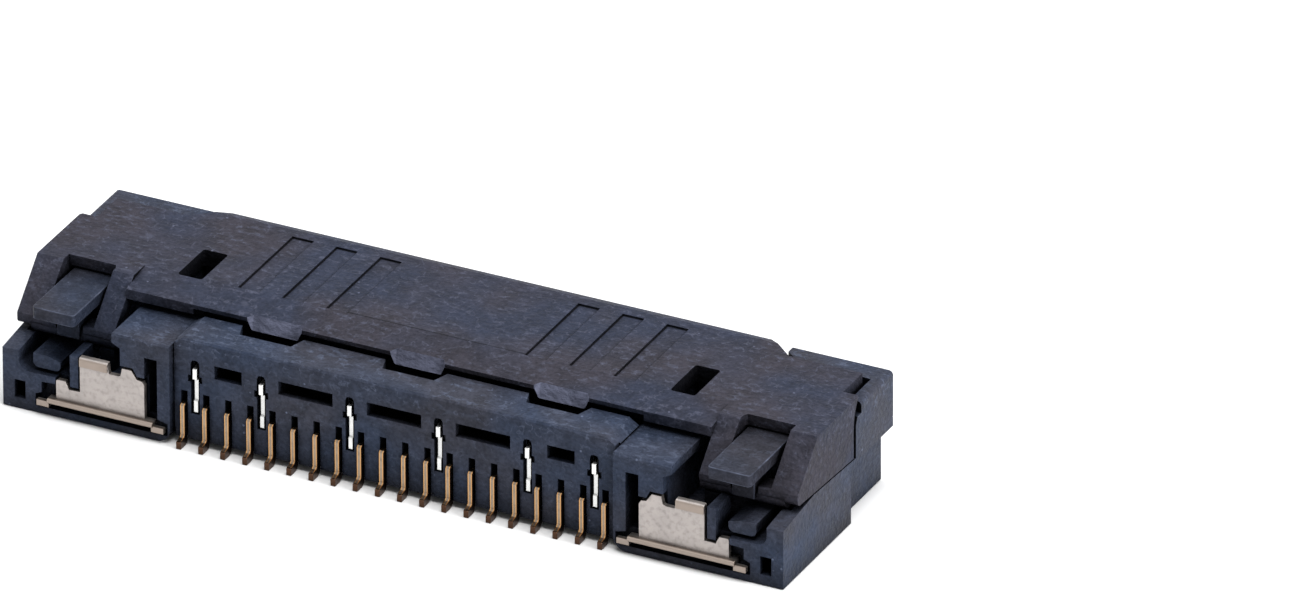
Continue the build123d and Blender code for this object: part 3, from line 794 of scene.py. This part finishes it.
class CONNECTOR_OT_levers(bpy.types.Operator):
    """Build the two press levers."""

    bl_idname = "connector.levers"
    bl_label = "Press levers"

    def execute(self, context):
        plastic = settings().plastic
        materials = worn_and_highlit_plastic("lever_plastic", plastic.lever_colour, scuffed=0.3, rough=0.5)
        for side in SIDES:
            source = f"release_lever_{side}"
            piece = rounded(f"press_lever_{side}", merged_copy(source), materials,
                            plastic.body_round)
            seat(piece, f"lever_{side}", "housing_plastic", source)
        return {"FINISHED"}


class CONNECTOR_OT_signals(bpy.types.Operator):
    """Set the row of signal contacts with Geometry Nodes."""

    bl_idname = "connector.signals"
    bl_label = "Signal contacts"

    def execute(self, context):
        metal = settings().metal
        material = plated_metal(
            "gold_plating", metal.gold_colour, rough=0.26, brushed=(30, 2, 2), dull=0.5,
            end=(TOE_END - TOE_CUT, metal.cut_colour), cut=metal.cut_colour)
        build_row("signal_contacts", SIGNALS, material, "gold_plating")
        return {"FINISHED"}


class CONNECTOR_OT_shields(bpy.types.Operator):
    """Set the shield plates with Geometry Nodes."""

    bl_idname = "connector.shields"
    bl_label = "Shield plates"

    def execute(self, context):
        material = plated_metal("bright_plating", settings().metal.bright_colour,
                                rough=0.3, brushed=(30, 3, 3), dull=0.2)
        build_row("shield_plates", SHIELDS, material, "bright_plating")
        return {"FINISHED"}


class CONNECTOR_OT_hold_downs(bpy.types.Operator):
    """Build the two folded hold-downs."""

    bl_idname = "connector.hold_downs"
    bl_label = "Hold-downs"

    def execute(self, context):
        metal = settings().metal
        material = plated_metal(
            "tin_plating", metal.tin_colour, rough=0.46, brushed=(2, 25, 25), dull=0.5,
            end=(BODY_REAR, tinted(metal.tin_colour, TARNISH)))
        for side in SIDES:
            source = f"hold_down_{side}"
            piece = rounded(f"solder_{source}", merged_copy(source), (material,),
                            metal.metal_round)
            seat(piece, "base", "tin_plating", source)
        return {"FINISHED"}


class CONNECTOR_OT_stage(bpy.types.Operator):
    """Set the floor, the light and the camera."""

    bl_idname = "connector.stage"
    bl_label = "Stage"

    def execute(self, context):
        scene = context.scene
        scene.view_settings.view_transform = "Standard"
        self.camera(scene)
        self.world(scene)
        self.floor()
        self.lights()
        return {"FINISHED"}

    def camera(self, scene):
        """Camera of the photograph's rear view."""
        stage = settings().stage
        turn, height = stage.azimuth, stage.elevation
        back = Vector((math.sin(turn) * math.cos(height), -math.cos(turn) * math.cos(height),
                       math.sin(height)))
        lens = bpy.data.cameras.new("photo_camera")
        lens.sensor_width = FILM_WIDTH
        lens.lens = stage.lens
        lens.clip_start, lens.clip_end = CAMERA_CLIP
        lens.shift_x, lens.shift_y = CAMERA_SHIFT
        made = new_object("photo_camera", lens)
        made.matrix_world = (Matrix.Translation(CAMERA_TARGET + back * stage.distance)
                             @ back.to_track_quat("Z", "Y").to_matrix().to_4x4()
                             @ Matrix.Rotation(stage.roll, 4, "Z"))
        scene.camera = made

    def world(self, scene):
        """Even light all round, which the camera and reflections see as white."""
        world = bpy.data.worlds.new("studio")
        world.use_nodes = True
        tree = world.node_tree
        tree.nodes.clear()
        path = node(tree, "ShaderNodeLightPath")
        seen = path.outputs["Is Camera Ray"]
        for ray in ("Is Glossy Ray", "Is Transmission Ray"):
            seen = maths(tree, "MAXIMUM", seen, path.outputs[ray])
        soft = node(tree, "ShaderNodeBackground", Color=SKY_COLOUR,
                    Strength=settings().stage.world_strength)
        white = node(tree, "ShaderNodeBackground", Color=(1, 1, 1, 1), Strength=1.0)
        both = node(tree, "ShaderNodeMixShader")
        end = node(tree, "ShaderNodeOutputWorld")
        tree.links.new(seen, both.inputs[0])
        tree.links.new(soft.outputs[0], both.inputs[1])
        tree.links.new(white.outputs[0], both.inputs[2])
        tree.links.new(both.outputs[0], end.inputs[0])
        arrange(tree)
        scene.world = world

    def floor(self):
        """Plain pale floor at the board plane."""
        mesh = bpy.data.meshes.new("floor")
        corners = [(x * FLOOR_REACH, y * FLOOR_REACH, 0)
                   for x, y in ((-1, -1), (1, -1), (1, 1), (-1, 1))]
        mesh.from_pydata(corners, [], [(0, 1, 2, 3)])
        made = new_object("floor", mesh)
        material = bpy.data.materials.new("pale_floor")
        material.use_nodes = True
        shader = material.node_tree.nodes["Principled BSDF"]
        shader.inputs["Base Color"].default_value = FLOOR_COLOUR
        shader.inputs["Roughness"].default_value = 0.95
        shader.inputs["Specular IOR Level"].default_value = 0.0
        mesh.materials.append(material)

    def lights(self):
        """Broad key light from above, a fill from one side and a weaker light from the other."""
        for name, place, size, share in LIGHTS:
            data = bpy.data.lights.new(name, "AREA")
            data.energy = settings().stage.key_power * share
            data.size = size
            made = new_object(name, data)
            made.location = place
            made.rotation_mode = "QUATERNION"
            made.rotation_quaternion = Vector(place).to_track_quat("Z", "Y")


class CONNECTOR_PT_panel(bpy.types.Panel):
    """Panel that lists the connector's pieces."""

    bl_label = "Connector"
    bl_idname = "CONNECTOR_PT_panel"
    bl_space_type = "VIEW_3D"
    bl_region_type = "UI"
    bl_category = "Connector"

    def draw(self, context):
        for step in STEPS:
            self.layout.operator(step.bl_idname)
        for group in ("plastic", "metal", "stage"):
            values = getattr(context.scene.connector, group)
            box = self.layout.box()
            box.label(text=group.capitalize())
            for key in values.bl_rna.properties.keys():
                if key not in ("rna_type", "name"):
                    box.prop(values, key)


STEPS = (CONNECTOR_OT_stage, CONNECTOR_OT_body, CONNECTOR_OT_cover, CONNECTOR_OT_levers,
         CONNECTOR_OT_signals, CONNECTOR_OT_shields, CONNECTOR_OT_hold_downs)
CLASSES = (PlasticSettings, MetalSettings, StageSettings, ConnectorSettings, *STEPS,
           CONNECTOR_PT_panel)


def register():
    """Add the classes and the scene's settings."""
    for item in CLASSES:
        bpy.utils.register_class(item)
    bpy.types.Scene.connector = PointerProperty(type=ConnectorSettings)


def unregister():
    """Take the classes and the settings out again."""
    del bpy.types.Scene.connector
    for item in reversed(CLASSES):
        bpy.utils.unregister_class(item)


def main():
    """Build every piece."""
    register()
    for step in STEPS:
        group, action = step.bl_idname.split(".")
        getattr(getattr(bpy.ops, group), action)()


if __name__ == "__main__":
    main()
